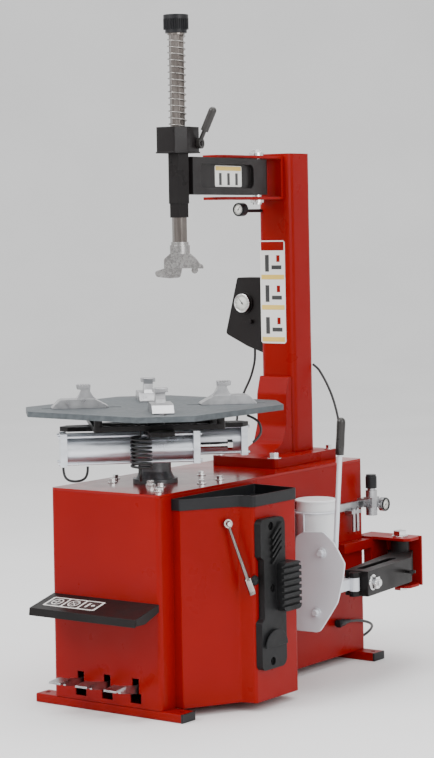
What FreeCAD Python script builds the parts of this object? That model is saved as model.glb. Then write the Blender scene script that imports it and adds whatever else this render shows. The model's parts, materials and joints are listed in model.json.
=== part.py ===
import FreeCAD, Part
import math
import os
import re

os.makedirs("parts", exist_ok=True)
doc = FreeCAD.newDocument("TireChanger")

# Swing-arm tire changer. Millimetres, +Z up, floor at Z 0.
# Lengths are worked out in the cabinet's own frame, whose corner is the front left
# foot of the cabinet walls: X to the operator's right, Y to the rear.
# midX and midY then move every piece so that the origin is the middle of the footprint.
drivingDims = [
    ("midX", 245.8), ("midY", 486.5),
    ("cabWidth", 370), ("cabDepth", 990), ("cabTop", 590), ("cabCorner", 12),
    ("wall", 3), ("deckThick", 6),
    ("footHeight", 24), ("footOver", 65), ("footDepth", 56), ("footWall", 4), ("anchorHole", 14),
    ("boxTop", 545), ("boxOut", 525), ("trayTop", 575), ("trayWall", 4),
    ("slotWide", 36), ("slotNarrow", 22), ("slotLow", 36), ("slotStep", 62), ("slotHigh", 101),
    ("pedalAxisY", 150), ("pedalAxisZ", 75), ("pedalRod", 8),
    ("padBottom", 110), ("padTop", 511), ("padThick", 20),
    ("tableX", 180), ("tableY", 232), ("tableTop", 800), ("tableThick", 15),
    ("tableReach", 350), ("tipWidth", 150), ("tableTurn", 43), ("hubRadius", 25), ("fit", 0.08),
    ("slideInner", 125), ("slideOuter", 285), ("slideHeight", 25), ("slideWidth", 58),
    ("clampBore", 35), ("clampAxisZ", 696), ("clampOffset", 86), ("clampRod", 8),
    ("colX", 185), ("colFront", 818), ("colWide", 118), ("colDeep", 115), ("colTop", 1500),
    ("colCorner", 22), ("colWall", 6), ("baseTop", 618),
    ("pinY", 735), ("pinRadius", 14), ("forkTop", 1494), ("forkThick", 8), ("forkNose", 500),
    ("shaftX", 258), ("shaftY", 260), ("hexFlats", 36), ("beamLow", 1380), ("beamHigh", 1484),
    ("beamWide", 60), ("springLow", 1565.4), ("springHigh", 1818), ("springRadius", 25.5),
    ("headTop", 1250), ("capTop", 1873),
    ("pivotX", 470), ("pivotY", 1035), ("armAngle", 5.6), ("armLow", 246), ("armHigh", 316),
    ("rodHeight", 283), ("trunnionX", 200), ("trunnionY", 686), ("barrelRadius", 70),
    ("bladeRadius", 690), ("bladeThick", 6),
    ("bucketX", 436), ("bucketY", 640), ("bucketRadius", 56), ("bucketLow", 330), ("bucketHigh", 512),
    ("cableRadius", 4),
]
sheet = doc.addObject("Spreadsheet::Sheet", "dims")
for row, (alias, value) in enumerate(drivingDims, 1):
    sheet.set("A%d" % row, alias)
    sheet.set("B%d" % row, str(value))
    sheet.setAlias("B%d" % row, alias)
doc.recompute()
aliasWord = re.compile(r"\b(" + "|".join(alias for alias, value in drivingDims) + r")\b")
vec = FreeCAD.Vector
xAxis, yAxis, zAxis = vec(1, 0, 0), vec(0, 1, 0), vec(0, 0, 1)
nodes = []
startOf = {}


def dim(alias):
    return float(sheet.get(alias))


def spin(axis, degrees):
    return FreeCAD.Rotation(axis, degrees)


def bind(obj, prop, value):
    """Sets a property to a number, or binds it to the sheet when value is a formula."""
    if isinstance(value, str):
        obj.setExpression(prop, aliasWord.sub(r"dims.\1", value))
    else:
        obj.setExpression(prop, "%.5f" % value)


def put(obj, at=(0, 0, 0), turn=None):
    """Places a working solid; at holds numbers or formulas of the sheet."""
    obj.Placement = FreeCAD.Placement(vec(0, 0, 0), turn or FreeCAD.Rotation())
    startOf[obj.Name] = at
    for letter, value in zip("xyz", at):
        bind(obj, "Placement.Base." + letter, value)
    return obj


def node(label, obj, at=None, turn=None):
    """Names a finished sub-part and moves it from the cabinet's frame to the model's."""
    start = startOf.get(obj.Name, (0, 0, 0))
    place = at or (0, 0, 0)
    if turn:
        obj.Placement = FreeCAD.Placement(vec(0, 0, 0), turn)
    for letter, first, extra, shift in zip("xyz", start, place, ("midX", "midY", "0")):
        bind(obj, "Placement.Base." + letter, "(%s) + (%s) - %s" % (first, extra, shift))
    obj.Label = label
    nodes.append(obj)
    return obj


def box(size, at=(0, 0, 0), turn=None):
    obj = doc.addObject("Part::Box", "box")
    for prop, value in zip(("Length", "Width", "Height"), size):
        bind(obj, prop, value)
    return put(obj, at, turn)


def rod(radius, height, at=(0, 0, 0), turn=None):
    obj = doc.addObject("Part::Cylinder", "rod")
    bind(obj, "Radius", radius)
    bind(obj, "Height", height)
    return put(obj, at, turn)


def cone(radiusLow, radiusHigh, height, at=(0, 0, 0), turn=None):
    obj = doc.addObject("Part::Cone", "cone")
    bind(obj, "Radius1", radiusLow)
    bind(obj, "Radius2", radiusHigh)
    bind(obj, "Height", height)
    return put(obj, at, turn)


def ball(radius, at=(0, 0, 0)):
    obj = doc.addObject("Part::Sphere", "ball")
    bind(obj, "Radius", radius)
    return put(obj, at)


def hexBar(flats, height, at=(0, 0, 0), turn=None):
    """A hexagonal bar along its own Z, sized across the flats."""
    obj = doc.addObject("Part::Prism", "hexBar")
    obj.Polygon = 6
    bind(obj, "Circumradius", "(%s) / 1.7320508" % flats)
    bind(obj, "Height", height)
    return put(obj, at, turn)


def fuse(*parts):
    obj = doc.addObject("Part::MultiFuse", "fuse")
    obj.Shapes = list(parts)
    return obj


def group(*parts):
    """Separate solids that share one node."""
    obj = doc.addObject("Part::Compound", "group")
    obj.Links = list(parts)
    return obj


def cut(base, *tools):
    obj = doc.addObject("Part::Cut", "cut")
    obj.Base = base
    obj.Tool = tools[0] if len(tools) == 1 else fuse(*tools)
    return obj


def arcOf(middle, start, end):
    """The shorter arc from start to end about middle."""
    first = math.atan2(start.y - middle.y, start.x - middle.x)
    last = math.atan2(end.y - middle.y, end.x - middle.x)
    if (last - first) % (2 * math.pi) > math.pi:
        first, last = last, first
    if last < first:
        last += 2 * math.pi
    return Part.ArcOfCircle(Part.Circle(middle, zAxis, (start - middle).Length), first, last)


def outline(points, radii=0):
    """Lines round the points, with each corner rounded by its radius."""
    count = len(points)
    radii = [radii] * count if isinstance(radii, (int, float)) else radii
    corners = []
    for i in range(count):
        here = vec(*points[i], 0)
        back = (vec(*points[i - 1], 0) - here).normalize()
        ahead = (vec(*points[(i + 1) % count], 0) - here).normalize()
        half = back.getAngle(ahead) / 2
        if radii[i] and half < math.pi / 2 - 1e-3:
            reach = radii[i] / math.tan(half)
            middle = here + (back + ahead).normalize() * (radii[i] / math.sin(half))
            corners.append((here + back * reach, middle, here + ahead * reach))
        else:
            corners.append((here, None, here))
    edges = []
    for i in range(count):
        start, middle, end = corners[i]
        if middle:
            edges.append(arcOf(middle, start, end))
        following = corners[(i + 1) % count][0]
        if (following - end).Length > 1e-6:
            edges.append(Part.LineSegment(end, following))
    return edges


def rect(left, front, right, rear):
    return [(left, front), (right, front), (right, rear), (left, rear)]


def inset(points, amount):
    """An anticlockwise outline moved inwards by amount, or outwards if negative."""
    moved = []
    for i in range(len(points)):
        here = vec(*points[i], 0)
        before = (here - vec(*points[i - 1], 0)).normalize()
        after = (vec(*points[(i + 1) % len(points)], 0) - here).normalize()
        bisector = vec(-before.y - after.y, before.x + after.x, 0).normalize()
        spread = bisector.dot(vec(-after.y, after.x, 0))
        corner = here + bisector * (amount / spread)
        moved.append((corner.x, corner.y))
    return moved


def circle(radius, middle=(0, 0)):
    return [Part.Circle(vec(*middle, 0), zAxis, radius)]


def sketchIn(body, plane, edges, lift=0):
    """A sketch on one of the body's own origin planes, lifted along its normal."""
    sketch = body.newObject("Sketcher::SketchObject", "sketch")
    flat = [f for f in body.Origin.OriginFeatures if f.Role == plane + "_Plane"][0]
    sketch.AttachmentSupport = [(flat, "")]
    sketch.MapMode = "FlatFace"
    bind(sketch, "AttachmentOffset.Base.z", lift)
    for edge in edges:
        sketch.addGeometry(edge, False)
    return sketch


def prism(plane, edges, length, lift=0, at=(0, 0, 0), turn=None):
    """A PartDesign body: one profile padded along its plane's normal.

    The XY plane pads up; the XZ plane pads towards -Y; the YZ plane pads towards +X.
    """
    body = doc.addObject("PartDesign::Body", "body")
    sketch = sketchIn(body, plane, edges, lift)
    pad = body.newObject("PartDesign::Pad", "pad")
    pad.Profile = sketch
    bind(pad, "Length", length)
    body.Tip = pad
    return put(body, at, turn)


def lathe(profile, at=(0, 0, 0), turn=None):
    """A PartDesign revolution of (radius, height) points about the body's own Z."""
    body = doc.addObject("PartDesign::Body", "body")
    sketch = sketchIn(body, "XZ", outline(profile))
    turned = body.newObject("PartDesign::Revolution", "turned")
    turned.Profile = sketch
    turned.ReferenceAxis = (sketch, ["V_Axis"])
    turned.Angle = 360
    body.Tip = turned
    return put(body, at, turn)


def feature(shape):
    obj = doc.addObject("Part::Feature", "feature")
    obj.Shape = shape
    return obj


def tubeShape(route, radius, name=None, largest=None):
    """A round tube along straight runs joined by tangent arcs."""
    points = [vec(*p) for p in route]
    edges = []
    radii = []
    last = points[0]
    for i in range(1, len(points) - 1):
        back = points[i - 1] - points[i]
        ahead = points[i + 1] - points[i]
        run = min(back.Length, ahead.Length)
        half = back.getAngle(ahead) / 2
        bend = 0.45 * run * math.tan(half)
        if largest:
            bend = min(bend, largest)
        reach = bend / math.tan(half)
        start = points[i] + back.normalize() * reach
        end = points[i] + ahead.normalize() * reach
        middle = points[i] + (back + ahead).normalize() * (bend / math.sin(half) - bend)
        edges.append(Part.LineSegment(last, start).toShape())
        edges.append(Part.Arc(start, middle, end).toShape())
        radii.append(bend)
        last = end
    edges.append(Part.LineSegment(last, points[-1]).toShape())
    wire = Part.Wire(edges)
    first = (points[1] - points[0]).normalize()
    section = Part.Wire([Part.Circle(points[0], first, radius).toShape()])
    tube = wire.makePipeShell([section], True, True)
    exact = math.pi * radius ** 2 * wire.Length
    if name:
        print("%s: length %.0f mm, smallest bend %.0f mm, volume ratio %.3f"
              % (name, wire.Length, min(radii), tube.Volume / exact))
    return tube


def hexBolt(at, flats=17, turn=None, shank=8):
    """A bolt with its washer's underside at the given point and its shank below."""
    washer = rod(flats * 0.85, 2.5)
    head = hexBar(flats, flats * 0.6, (0, 0, 2.5))
    if not shank:
        return put(fuse(washer, head), at, turn)
    return put(fuse(washer, head, rod(flats * 0.3, shank, (0, 0, -shank))), at, turn)


# Cabinet, side box, feet and deck
width, depth, top = dim("cabWidth"), dim("cabDepth"), dim("cabTop")
wall = dim("wall")
corner = dim("cabCorner")
outer = dim("boxOut")
sidePlan = [(width - 2, 57), (398, 57), (481, 202), (outer, 211), (outer, 410), (width - 2, 428)]
shell = prism("XY", outline(rect(0, 0, width, depth), corner), "cabTop - deckThick - footHeight",
              at=(0, 0, "footHeight"))
hollow = prism("XY", outline(rect(wall, wall, width - wall, depth - wall), corner - wall), "cabTop",
               at=(0, 0, "footHeight + wall"))
sideShell = prism("XY", outline(sidePlan, [0, 4, 10, 10, 10, 0]), "boxTop - footHeight",
                  at=(0, 0, "footHeight"))
sideHollow = prism("XY", outline(inset(sidePlan, wall)), "boxTop", at=(0, 0, "footHeight + wall"))
sideOpening = box((20, 330, "boxTop - footHeight - 60"), ("cabWidth - 10", 76, "footHeight + 20"))
rodSlot = box((20, 120, 50), ("cabWidth - 10", 650, "rodHeight - 25"))
glandHole = rod(7.1, 30, ("cabWidth - 15", 834, 124), spin(yAxis, 90))
slots = []
for slotX in (95, 186, 283):
    slots.append(box(("slotNarrow", 20, "slotHigh - slotLow"), ("%d - slotNarrow / 2" % slotX, -10, "slotLow")))
    slots.append(box(("slotWide", 20, "slotStep - slotLow"), ("%d - slotWide / 2" % slotX, -10, "slotLow")))
straps = []
for strapZ in (196, 362):
    strap = box(("cabWidth - 2 * wall + 1", 60, 8), ("wall - 0.5", "trunnionY - 30", strapZ))
    straps.append(cut(strap, rod("15 + fit", 20, ("trunnionX", "trunnionY", strapZ - 5))))
walls = cut(fuse(cut(shell, hollow), cut(sideShell, sideHollow)), sideOpening, rodSlot, glandHole, *slots)
node("cabinet", fuse(walls, *straps))

deckBolts = [(32, 241), (84, 163), (318, 260), (307, 358), (197, 420), (322, 63), (262, 150)]
baseBolts = [(282, 660), (88, 660), (282, 945), (88, 945)]
deck = prism("XY", outline(rect(0, 0, width, depth), corner), "deckThick", at=(0, 0, "cabTop - deckThick"))
boltHoles = [rod(5.3, 20, (x, y, "cabTop - 10")) for x, y in deckBolts]
node("top_deck", cut(deck, rod(30, 30, ("tableX", "tableY", "cabTop - 15")), *boltHoles))

feet = []
footOuter = rect(0, 0, dim("footDepth"), dim("footHeight"))
for footY in (0, 933):
    tube = prism("YZ", outline(footOuter, 4) + outline(inset(footOuter, dim("footWall")), 2),
                 "cabWidth + 2 * footOver", at=("-footOver", footY, 0))
    anchors = [rod("anchorHole / 2", 60, (x, footY + 28, -10)) for x in ("-footOver + 20", "cabWidth + footOver - 20")]
    feet.append(cut(tube, *anchors))
node("floor_feet", group(*feet))

trayPlan = inset(sidePlan, -3)
trayPlan[0] = (width + 1, trayPlan[0][1])
trayPlan[5] = (width + 1, trayPlan[5][1])
trayOuter = prism("XY", outline(trayPlan, [0, 6, 12, 12, 12, 0]), "trayTop - boxTop", at=(0, 0, "boxTop"))
trayInner = prism("XY", outline(inset(trayPlan, dim("trayWall")), [4, 4, 10, 10, 10, 4]), 60,
                  at=(0, 0, "boxTop + 4"))
node("side_tray", cut(trayOuter, trayInner))

# Bead pad: rubber plate with a waist and a ribbed block
padLow, padHigh = dim("padBottom"), dim("padTop")
padShape = [(213, padLow), (327, padLow), (327, padHigh), (213, padHigh), (213, 412), (227, 402), (227, 247), (213, 237)]
padPlate = prism("YZ", outline(padShape, [16, 22, 22, 16, 6, 6, 6, 6]), "padThick", at=("boxOut", 0, 0))
padBlock = prism("YZ", outline(rect(283, 259, 366, 388), 14), 45, at=("boxOut", 0, 0))
ribGrooves = [box((9, 100, 7), ("boxOut + 38", 275, 272 + 17 * i)) for i in range(7)]
padHoles = [rod(6, 60, ("boxOut - 10", y, z), spin(yAxis, 90)) for y, z in ((261, 490), (266, 324), (262, 130))]
padHeads = [rod(11, 20, ("boxOut + 12", y, z), spin(yAxis, 90)) for y, z in ((261, 490), (266, 324), (262, 130))]
node("bead_pad", cut(fuse(padPlate, padBlock), *(ribGrooves + padHoles + padHeads)))

# Pedal cover and pedals
hood = [(0, 304), (-100, 279), (-103, 259), (-100, 259), (-97.6, 276.6), (-3, 300.2), (-3, 284), (0, 284)]
hoodEnd = [(0, 301), (-97, 277), (-97, 262), (-60, 262), (0, 284)]
cheeks = [prism("YZ", outline(hoodEnd), 3, at=(x, 0, 0)) for x in (4, "cabWidth - 7")]
node("pedal_cover", fuse(prism("YZ", outline(hood), "cabWidth - 8", at=(4, 0, 0)), *cheeks))

carriers = []
for x in (wall, 55, 235, width - wall - 10):
    carriers.append(box((10, 40, "pedalAxisZ - footHeight - wall + 14"), (x, "pedalAxisY - 20", "footHeight + wall")))
node("pedal_shaft", fuse(rod("pedalRod", "cabWidth - 2 * wall", ("wall", "pedalAxisY", "pedalAxisZ"), spin(yAxis, 90)),
                         *carriers))
pedalBar = [(150, 89), (0, 83), (-66, 94), (-72, 90), (-68, 74), (0, 61), (150, 61)]
pedalPad = [(-62, 90), (-66, 95), (-108, 90), (-109, 85), (-72, 84)]
for label, pedalX in (("pedal_left", 95), ("pedal_middle", 186), ("pedal_right", 283)):
    bar = prism("YZ", outline(pedalBar), 8, at=(pedalX - 4, 0, 0))
    pad = prism("YZ", outline(pedalPad, [0, 3, 2, 0, 0]), 40, at=(pedalX - 20, 0, 0))
    hub = rod("pedalRod + 8", 24, (pedalX - 12, "pedalAxisY", "pedalAxisZ"), spin(yAxis, 90))
    bore = rod("pedalRod + fit", 40, (pedalX - 20, "pedalAxisY", "pedalAxisZ"), spin(yAxis, 90))
    node(label, cut(fuse(bar, pad, hub), bore))

# Drive: gearbox under the deck, motor and belt
gearBores = [rod("hubRadius + fit", 120, ("tableX", "tableY", 500)), rod("10 + fit", 40, ("tableX", "tableY", 465))]
node("gearbox", cut(box((150, 150, 113.8), ("tableX - 75", "tableY - 75", 470)), *gearBores))
pulley = fuse(rod(60, 20, ("tableX", "tableY", 436)), rod(10, 60, ("tableX", "tableY", 436)))
node("gearbox_pulley", pulley)
motorX, motorY = 185, 430
motorCan = cut(rod(60, 170, (motorX, motorY, 245)), rod("9 + fit", 60, (motorX, motorY, 375)))
motorPlate = cut(box((190, 130, 8), (motorX - 95, motorY - 65, 415)), rod(20, 30, (motorX, motorY, 405)))
hangers = [box((6, 130, 169), (x, motorY - 65, 415)) for x in (motorX - 95, motorX + 89)]
node("motor", fuse(motorCan, motorPlate, *hangers))
node("motor_pulley", fuse(rod(25, 20, (motorX, motorY, 436)), rod(9, 70, (motorX, motorY, 386))))


def beltLoop(first, firstRadius, second, secondRadius):
    """The outline of an open belt round two pulleys."""
    gap = second - first
    along = math.atan2(gap.y, gap.x)
    lean = math.acos((firstRadius - secondRadius) / gap.Length)
    touch = []
    for middle, radius in ((first, firstRadius), (second, secondRadius)):
        for side in (1, -1):
            angle = along + side * lean
            touch.append(middle + vec(math.cos(angle), math.sin(angle), 0) * radius)
    edges = [Part.LineSegment(touch[0], touch[2]), Part.LineSegment(touch[1], touch[3])]
    edges.append(Part.ArcOfCircle(Part.Circle(first, zAxis, firstRadius), along + lean, along - lean + 2 * math.pi))
    edges.append(Part.ArcOfCircle(Part.Circle(second, zAxis, secondRadius), along - lean, along + lean))
    return edges


tableMiddle = vec(dim("tableX"), dim("tableY"), 0)
motorMiddle = vec(motorX, motorY, 0)
belt = beltLoop(tableMiddle, 64, motorMiddle, 29) + beltLoop(tableMiddle, 60.3, motorMiddle, 25.3)
node("drive_belt", prism("XY", belt, 16, at=(0, 0, 438)))

# Turntable: pedestal, plate with its spindle, frame, cylinders and rods
pedestal = fuse(rod(62, 12), rod(44, 145), cone(54, 44, 20, (0, 0, 12)))
tableAt = ("tableX", "tableY", 0)
node("turntable_pedestal", cut(pedestal, rod("hubRadius + fit", 200, (0, 0, -10))), at=("tableX", "tableY", "cabTop"))

reach, tipHalf = dim("tableReach"), dim("tipWidth") / 2
starPoints = []
for i in range(4):
    along = vec(math.cos(i * math.pi / 2), math.sin(i * math.pi / 2), 0)
    across = vec(-along.y, along.x, 0)
    for distance, side in ((reach, -tipHalf), (reach, tipHalf)):
        tip = along * distance + across * side
        starPoints.append((tip.x, tip.y))
plate = prism("XY", outline(starPoints, 14), "tableThick", at=(0, 0, "tableTop - tableThick"))
slotCuts = []
for i in range(4):
    slotCuts.append(prism("XY", outline(rect(90, -8, 310, 8), 7.9), 60, at=(0, 0, 770), turn=spin(zAxis, 90 * i)))
spindle = rod("hubRadius", "tableTop - tableThick + 0.5 - 505", (0, 0, 505))
node("turntable_plate", fuse(cut(plate, *slotCuts), spindle), at=tableAt, turn=spin(zAxis, dim("tableTurn")))

ringOuter = prism("XY", outline(rect(-178, -178, 178, 178), 20), 14, at=(0, 0, 748))
ringInner = prism("XY", outline(rect(-150, -150, 150, 150), 14), 60, at=(0, 0, 730))
crossBars = [prism("XY", outline(rect(-160, -24, 160, 24)), 8, at=(0, 0, 748), turn=spin(zAxis, 90 * i)) for i in range(2)]
ears = []
for i in range(4):
    ear = prism("XY", outline([(120, -40), (240, -34), (262, 0), (240, 34), (120, 40)], [0, 8, 8, 8, 0]), 12,
                at=(0, 0, 738), turn=spin(zAxis, 90 * i))
    ears.append(cut(ear, rod(26, 40, (0, 0, 730))))
standoffs = [rod(11, 38, (165 * sx, 165 * sy, 747)) for sx in (-1, 1) for sy in (-1, 1)]
frameBody = cut(fuse(cut(ringOuter, ringInner), *(crossBars + ears)), rod(26.2, 60, (0, 0, 725)))
node("turntable_frame", fuse(frameBody, *standoffs), at=tableAt, turn=spin(zAxis, dim("tableTurn")))

barrelLong = 377


def clampCylinder():
    """One twin-plate air cylinder beside the spindle, along the table's diagonal."""
    left = -76 - barrelLong / 2
    parts = []
    bore = rod(30, barrelLong - 30, (left + 15, 0, 0), spin(yAxis, 90))
    body = cut(rod("clampBore", barrelLong, (left, 0, 0), spin(yAxis, 90)), bore,
               rod("clampRod + fit", 80, (left + barrelLong - 40, 0, 0), spin(yAxis, 90)))
    parts.append(body)
    for x in (left, left + barrelLong - 18):
        plate = box((18, 88, 88), (x, -44, -44))
        parts.append(cut(plate, rod("clampBore - 1", 60, (x - 20, 0, 0), spin(yAxis, 90))))
    for y in (-36, 36):
        for z in (-36, 36):
            parts.append(rod(4, barrelLong + 12, (left - 6, y, z), spin(yAxis, 90)))
    return fuse(*parts)


def atDiagonal(obj, side):
    """Stands a working solid beside the spindle, turned to the diagonal."""
    turn = spin(zAxis, dim("tableTurn") + (0 if side < 0 else 180))
    offset = turn.multVec(vec(0, -dim("clampOffset"), 0))
    return put(obj, ("tableX + %.3f" % offset.x, "tableY + %.3f" % offset.y, "clampAxisZ"), turn)


node("clamp_cylinders", fuse(atDiagonal(clampCylinder(), -1), atDiagonal(clampCylinder(), 1)))
for label, side in (("clamp_rod_front", -1), ("clamp_rod_rear", 1)):
    stem = rod("clampRod", 300, (-95, 0, 0), spin(yAxis, 90))
    piston = rod(29.7, 20, (-95, 0, 0), spin(yAxis, 90))
    nut = hexBar(24, 14, (191, 0, 0), spin(yAxis, 90))
    node(label, atDiagonal(fuse(stem, piston, nut), side))

# Jaws
low, high = dim("slideInner"), dim("slideOuter")
jawTop = dim("tableTop") + 0.3 + dim("slideHeight")
jawSide = [(low, 800.3), (high, 800.3), (high - 22, jawTop - 3), (255, jawTop), (165, jawTop), (low + 4, 806)]
claw = [(158, 822), (216, 822), (206, 836), (200, 850), (212, 852), (214, 864), (174, 864), (176, 846), (168, 832)]
for i in range(4):
    slide = prism("XZ", outline(jawSide, [2, 2, 4, 3, 4, 2]), "slideWidth", lift="-slideWidth / 2")
    neck = prism("XZ", outline(claw, [0, 0, 6, 3, 2, 2, 2, 6, 6]), 26, lift=-13)
    head = box((34, 40, 11), (176, -20, 853))
    teeth = [box((3, 44, 4), (181 + 7 * k, -22, 861)) for k in range(4)]
    tongue = box((40, 12, 40), (190, -6, 776))
    keeper = box((60, 30, 8), (180, -15, 776.4))
    jaw = cut(fuse(slide, neck, head, tongue, keeper), *teeth)
    node("jaw_%d" % (i + 1), jaw, at=tableAt, turn=spin(zAxis, dim("tableTurn") + 90 * i))

# Column with its base, hinge fork and pin
baseFoot = prism("XY", outline(rect(70, 640, 300, 966), 14), "baseTop - cabTop - 0.05", at=(0, 0, "cabTop"))
gussetSide = [(818, 842), (806, 842), (790, 790), (788, 700), (768, 648), (700, 622), (650, 618), (650, 617), (818, 617)]
gusset = prism("YZ", outline(gussetSide, [0, 6, 40, 60, 30, 20, 4, 0, 0]), 104, at=(133, 0, 0))
node("column_base", fuse(cut(baseFoot, *[rod(7.6, 60, (x, y, 580)) for x, y in baseBolts]), gusset))
colLeft, colRight = dim("colX") - dim("colWide") / 2, dim("colX") + dim("colWide") / 2
colRear = dim("colFront") + dim("colDeep")
colPlan = rect(colLeft, dim("colFront"), colRight, colRear)
post = prism("XY", outline(colPlan, dim("colCorner")) + outline(inset(colPlan, dim("colWall")), dim("colCorner") - dim("colWall")),
             "colTop - baseTop", at=(0, 0, "baseTop"))
lid = prism("XY", outline(colPlan, dim("colCorner")), 5, at=(0, 0, "colTop - 3"))
node("column", fuse(post, lid))

nose = dim("forkNose")
forkPlan = [(colLeft + 21, dim("colFront")), (colLeft + 21, nose + 26), (colLeft + 36, nose), (colRight - 34, nose),
            (colRight - 21, nose + 24), (colRight - 21, dim("colFront"))]
blades = [prism("XY", outline(forkPlan, [0, 24, 10, 10, 24, 0]), "forkThick", at=(0, 0, z)) for z in ("forkTop - forkThick", 1366)]
backWeb = box((76, 12, 128), (colLeft + 21, "colFront - 12", 1366))
pinHole = rod("pinRadius", 300, ("colX", "pinY", 1300))
node("hinge_fork", cut(fuse(backWeb, *blades), pinHole))
node("arm_pin", fuse(rod("pinRadius", 156, ("colX", "pinY", 1352)), rod(22, 10, ("colX", "pinY", "forkTop")),
                     hexBar(30, 8, ("colX", "pinY", "forkTop + 10")), rod(21, 8, ("colX", "pinY", 1357.5))))

# Swing arm: beam, sleeve, lock box and lever, shaft, spring, cap and head
armAcross = dim("shaftX") - dim("colX")
armBack = dim("pinY") - dim("shaftY")
armLean = math.degrees(math.atan2(armAcross, armBack))
armLong = math.hypot(armAcross, armBack)
armTurn = spin(zAxis, armLean - 90)
pinAt = ("colX", "pinY", 0)
shaftAt = ("shaftX", "shaftY", 0)
half = dim("beamWide") / 2
beamPlan = [(-half, -half), (armLong - 27.5, -half), (armLong - 27.5, half), (-half, half)]
beam = prism("XY", outline(beamPlan, [half - 0.1, 0, 0, half - 0.1]), "beamHigh - beamLow", at=(0, 0, "beamLow"))
recess = [prism("XZ", outline(rect(80, 1398, armLong - 70, 1466), 20), 12, lift=y) for y in (-half - 2, half - 10)]
node("arm_beam", cut(beam, rod("pinRadius + fit", 200, (0, 0, 1350)), *recess), at=pinAt, turn=armTurn)
shaftBore = rod(21.2, 700, (0, 0, 1200))
sleeve = fuse(hexBar(55, 138, (0, 0, 1355), spin(zAxis, 30)), hexBar(50, 39, (0, 0, 1317), spin(zAxis, 30)))
node("guide_sleeve", cut(sleeve, shaftBore), at=shaftAt, turn=armTurn)
lockPlan = [(-47, -42), (48, -42), (48, 14), (20, 42), (-47, 42)]
lockBody = prism("XY", outline(lockPlan, [4, 4, 8, 8, 4]), 72, at=(0, 0, 1493))
lockRim = prism("XY", outline(inset(lockPlan, -2), [4, 4, 8, 8, 4]), 4, at=(0, 0, 1493))
pivotStub = rod(7, 18, (-36, 40, 1520), spin(xAxis, -90))
node("lock_box", cut(fuse(lockBody, lockRim, pivotStub), rod(21.2, 700, (0, 0, 1200))),
     at=shaftAt, turn=armTurn)
leverLean = spin(xAxis, -26)
leverHub = cut(rod(15, 11, (-36, 44.4, 1520), spin(xAxis, -90)), rod("7 + fit", 60, (-36, 30, 1520), spin(xAxis, -90)))
leverArm = rod(6, 42, (-36, 52.4, 1531), leverLean)
leverGrip = rod(11, 60, (-36, 63.5, 1554), leverLean)
gripEnd = ball(11, (-36, 89.8, 1607.9))
node("lock_lever", fuse(leverHub, leverArm, leverGrip, gripEnd), at=shaftAt, turn=armTurn)
shaftBar = hexBar("hexFlats", "springHigh - headTop + 20", (0, 0, "headTop"))
node("tool_shaft", fuse(shaftBar, rod(24, 5, (0, 0, "springHigh"))), at=shaftAt, turn=spin(zAxis, armLean + 16))
springTube = cut(rod("springRadius", "springHigh - springLow - 0.6"), rod("springRadius - 4", 400, (0, 0, -20)))
node("shaft_spring", springTube, at=("shaftX", "shaftY", "springLow"))
capBody = rod(30, 37, (0, 0, "springHigh + 5"))
capFlange = cut(rod(34.5, 13, (0, 0, "capTop - 13")), rod(28, 30, (0, 0, "capTop - 4")))
node("shaft_cap", cut(fuse(capBody, capFlange), hexBar("hexFlats + 0.2", 16, (0, 0, "springHigh + 4.9"), spin(zAxis, armLean + 16))),
     at=shaftAt)

# Mount head: collar, clamp and the duck-bill foot
headAngle = 36
collar = fuse(rod(24, 9, (0, 0, "headTop - 9.1")), rod(27.5, 24, (0, 0, "headTop - 33")))
body = prism("XZ", outline([(-44, 1178), (44, 1178), (60, 1182), (42, 1206), (28, 1218), (-28, 1218), (-44, 1204)],
                           [3, 3, 6, 14, 4, 4, 10]), 44, lift=-22)
fin = prism("XZ", outline([(20, 1178), (66, 1176), (62, 1186), (30, 1206)], [0, 3, 4, 8]), 14, lift=4)
snout = prism("XZ", outline([(-70, 1170), (-66, 1156), (-30, 1151), (0, 1153), (6, 1179), (-40, 1179)], [6, 8, 12, 6, 0, 10]),
              34, lift=-17)
roller = rod(9, 40, (40, -20, 1172), spin(xAxis, -90))
node("mount_head", fuse(collar, body, fin, snout, roller), at=shaftAt, turn=spin(zAxis, headAngle))

# Gauge box and arm gauge
boxOutline = [(10, 1133), (122, 1133), (126, 1133), (126, 900), (122, 900), (45, 925), (-36, 962)]
gaugeCase = prism("XZ", outline(boxOutline, [8, 0, 0, 0, 4, 10, 10]), 60, lift=-930)
dialRing = cut(rod(32, 8, (36, 863, 1056), spin(xAxis, -90)), rod(28, 5, (36, 861, 1056), spin(xAxis, -90)))
boxKnob = rod(7, 14, (61, 857, 1000), spin(xAxis, -90))
node("gauge_box", fuse(gaugeCase, dialRing, boxKnob))
smallGauge = fuse(rod(20, 22, (140, 702, 1338), spin(xAxis, -90)), rod(5, 98, (140, 720, 1334), spin(xAxis, -90)))
node("arm_gauge", smallGauge)

# Bead breaker: bracket, arm, cylinder, rod, blade and handle
pivotAt = ("pivotX", "pivotY", 0)
beadTurn = spin(zAxis, dim("armAngle") - 90)
px, py = dim("pivotX"), dim("pivotY")
topLeaf = prism("XY", outline([(340, 996), (505, 996), (520, 1010), (520, 1060), (505, 1075), (340, 1075)], [0, 10, 10, 10, 10, 0]),
                8, at=(0, 0, 350))
lowLeaf = prism("XY", outline([(340, 996), (505, 996), (520, 1010), (520, 1060), (505, 1075), (340, 1075)], [0, 10, 10, 10, 10, 0]),
                8, at=(0, 0, 212))
rearPlate = box((178, 7, 146), (340, 1075, 212))
beamSide = box((28, 160, 28), ("cabWidth + 0.4", 842, 325))
rearTie = box((28, 90, 146), ("cabWidth + 0.4", 990.4, 212))
bracket = cut(fuse(topLeaf, lowLeaf, rearPlate, beamSide, rearTie), rod(14, 300, ("pivotX", "pivotY", 200)))
node("bead_bracket", bracket)
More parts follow.
